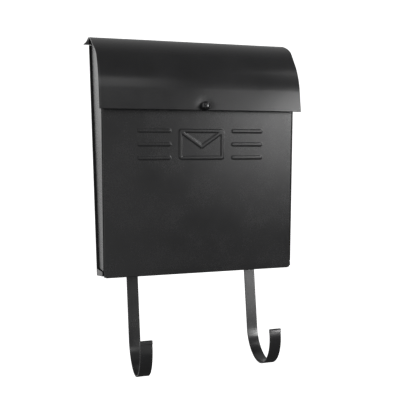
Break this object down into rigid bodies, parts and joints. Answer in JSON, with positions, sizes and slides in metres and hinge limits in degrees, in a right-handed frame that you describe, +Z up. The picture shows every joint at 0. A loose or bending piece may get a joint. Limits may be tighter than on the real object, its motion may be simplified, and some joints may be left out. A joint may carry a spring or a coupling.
{
  "type": "wall mounted mailbox",
  "caption": "Sheet-metal wall mailbox with a sloped front, a hinged barrel-curved lid with a round knob, and J-shaped newspaper hooks below.",
  "frame": {"origin": "centre of the four wall screw holes, on the rear face of the back panel (the plane of the wall)", "axes": "+Z up, +X to the right as seen from in front, -Y out of the wall towards the person"},
  "size_m": [0.303, 0.1196, 0.4837],
  "materials": {
    "painted_sheet": "satin black powder coat, very fine texture",
    "painted_strip": "satin black paint over flat strip",
    "painted_rivet": "satin black paint",
    "hinge_wire": "drawn steel wire",
    "cap_steel": "blackened spring steel",
    "knob_enamel": "gloss black enamel",
    "fastener_steel": "zinc plated"
  },
  "bodies": {
    "box": {"back_panel": "painted_sheet", "left_side_panel": "painted_sheet", "right_side_panel": "painted_sheet", "front_panel": "painted_sheet", "bottom_panel": "painted_sheet", "hinge_rod": "hinge_wire", "hinge_rod_caps": "cap_steel", "left_hook": "painted_strip", "right_hook": "painted_strip", "side_flange_rivets": "painted_rivet", "bottom_flange_rivets": "painted_rivet", "hook_rivets": "painted_rivet"},
    "lid": {"lid": "painted_sheet", "lid_knob": "knob_enamel", "knob_screw": "fastener_steel", "knob_washer": "fastener_steel"}
  },
  "joints": [
    {"name": "lid_hinge", "type": "hinge", "parent": "box", "child": "lid", "pos_m": [0, -0.00275, 0.16895], "axis": [-1, 0, 0], "range_deg": [0, 90]}
  ]
}
